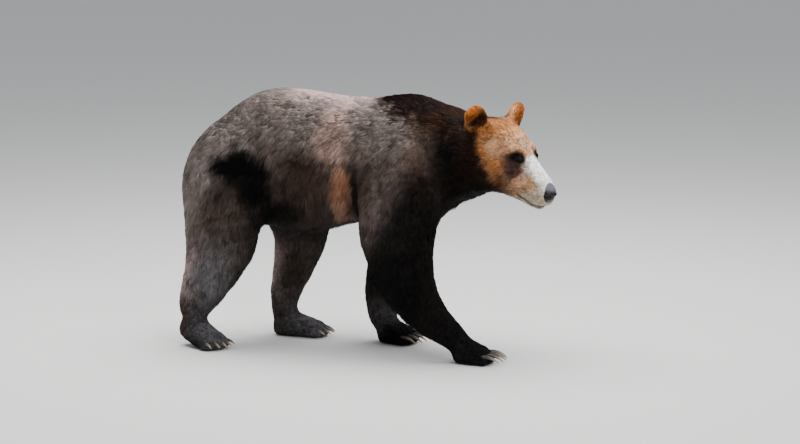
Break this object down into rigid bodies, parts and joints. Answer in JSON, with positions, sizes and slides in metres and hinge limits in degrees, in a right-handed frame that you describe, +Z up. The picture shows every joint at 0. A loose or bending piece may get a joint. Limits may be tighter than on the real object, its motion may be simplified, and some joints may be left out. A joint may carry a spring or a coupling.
{
  "type": "grizzly bear",
  "caption": "Walking grizzly bear, still life-size model: shoulder hump, turned head with round ears, long foreclaws, all feet flat on the floor.",
  "frame": {"origin": "on the floor, under the middle of the bear's box", "axes": "+X towards the bear's head along its body, +Y to its left, +Z up"},
  "size_m": [1.4736, 0.5622, 0.9694],
  "materials": {
    "coat_brown": "matt fur",
    "coat_dark_brown": "matt fur",
    "coat_tan": "matt short fur",
    "coat_orange": "matt downy fur",
    "nose_skin": "moist leathery skin",
    "eye_surface": "wet gloss",
    "claw_horn": "satin horn"
  },
  "bodies": {
    "root": {"trunk": "coat_brown", "neck": "coat_brown", "head": "coat_tan", "lower_jaw": "coat_tan", "nose": "nose_skin", "ear_left": "coat_orange", "ear_right": "coat_orange", "eye_left": "eye_surface", "eye_right": "eye_surface", "tail": "coat_brown", "shoulder_and_upper_arm_right": "coat_dark_brown", "forearm_right": "coat_dark_brown", "forepaw_right": "coat_dark_brown", "thigh_right": "coat_dark_brown", "shank_right": "coat_dark_brown", "hind_foot_right": "coat_dark_brown", "shoulder_and_upper_arm_left": "coat_dark_brown", "forearm_left": "coat_dark_brown", "forepaw_left": "coat_dark_brown", "thigh_left": "coat_dark_brown", "shank_left": "coat_dark_brown", "hind_foot_left": "coat_dark_brown", "claw_forepaw_right_1": "claw_horn", "claw_forepaw_right_2": "claw_horn", "claw_forepaw_right_3": "claw_horn", "claw_forepaw_right_4": "claw_horn", "claw_forepaw_right_5": "claw_horn", "claw_forepaw_left_1": "claw_horn", "claw_forepaw_left_2": "claw_horn", "claw_forepaw_left_3": "claw_horn", "claw_forepaw_left_4": "claw_horn", "claw_forepaw_left_5": "claw_horn", "claw_hind_foot_right_1": "claw_horn", "claw_hind_foot_right_2": "claw_horn", "claw_hind_foot_right_3": "claw_horn", "claw_hind_foot_right_4": "claw_horn", "claw_hind_foot_right_5": "claw_horn", "claw_hind_foot_left_1": "claw_horn", "claw_hind_foot_left_2": "claw_horn", "claw_hind_foot_left_3": "claw_horn", "claw_hind_foot_left_4": "claw_horn", "claw_hind_foot_left_5": "claw_horn"}
  },
  "joints": []
}
